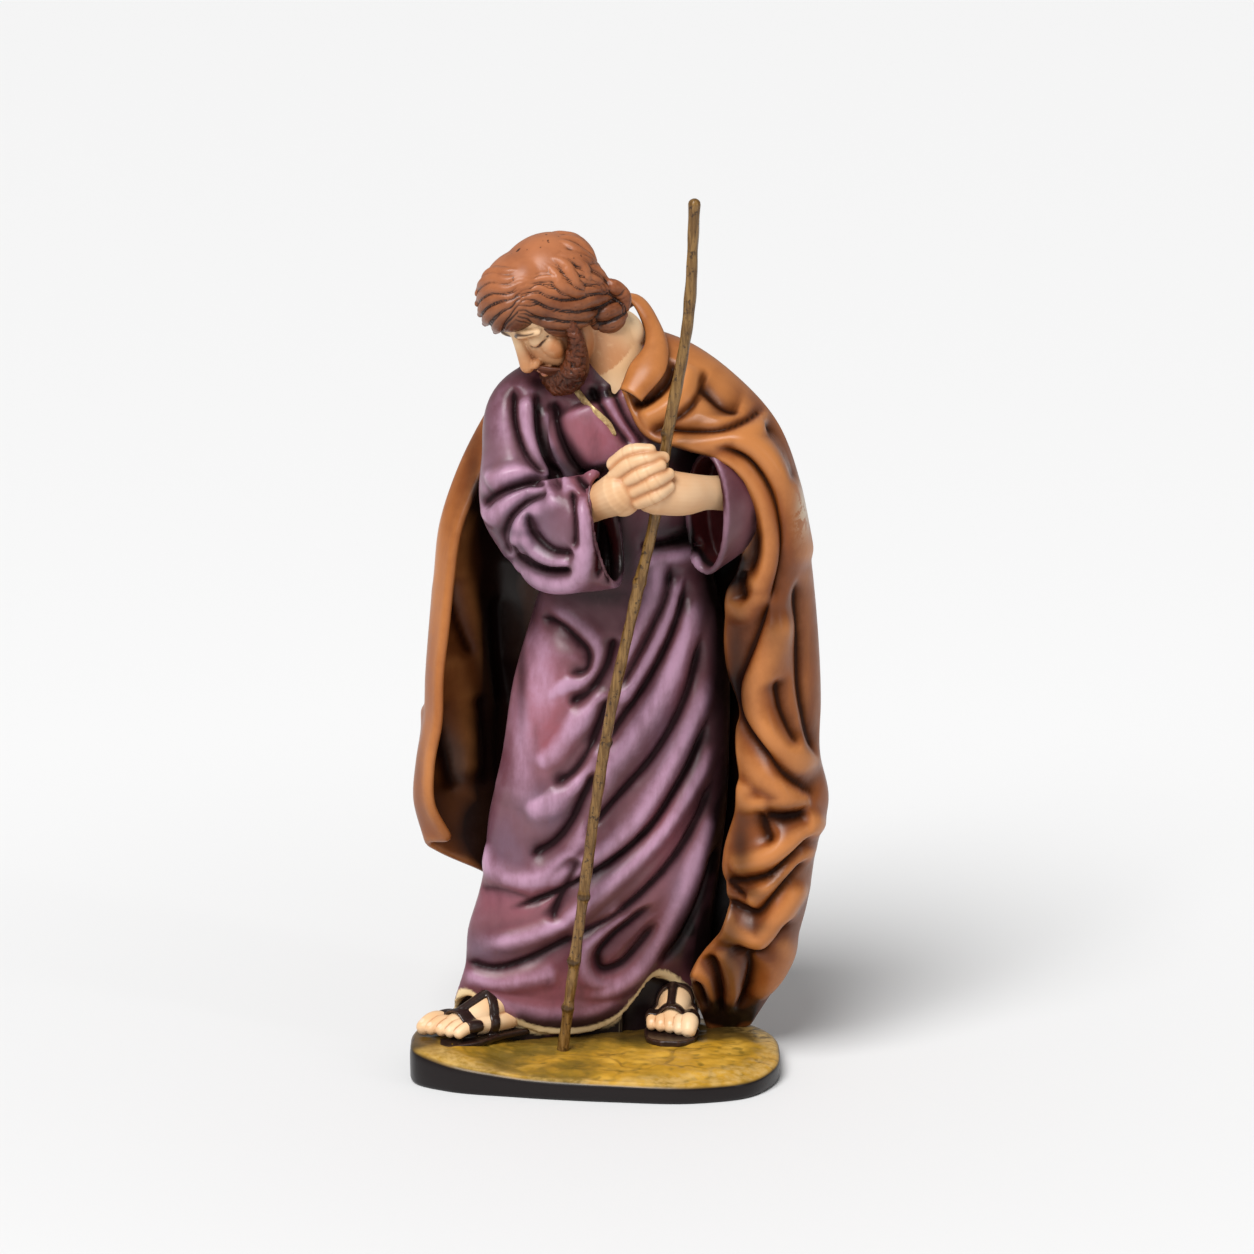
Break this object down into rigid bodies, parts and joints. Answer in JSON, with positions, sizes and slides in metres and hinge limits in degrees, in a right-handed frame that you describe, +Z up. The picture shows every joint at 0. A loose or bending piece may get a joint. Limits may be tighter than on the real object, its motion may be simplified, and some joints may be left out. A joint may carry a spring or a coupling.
{
  "type": "saint joseph statue",
  "caption": "Painted cast statue of a bearded man in tunic and cloak, bowed over a thin staff that passes through the clasped hands, standing on a low ground-like base.",
  "frame": {"origin": "on the flat underside of the ground, below the middle of the figure", "axes": "+Z up from the ground to the head, the figure faces -Y, +X on the figure's left"},
  "size_m": [0.212, 0.1318, 0.4476],
  "materials": {
    "painted_casting": "hand-painted cast resin, satin gloss",
    "painted_stick": "painted and waxed natural stick"
  },
  "bodies": {
    "root": {"figure": "painted_casting", "staff": "painted_stick"}
  },
  "joints": []
}
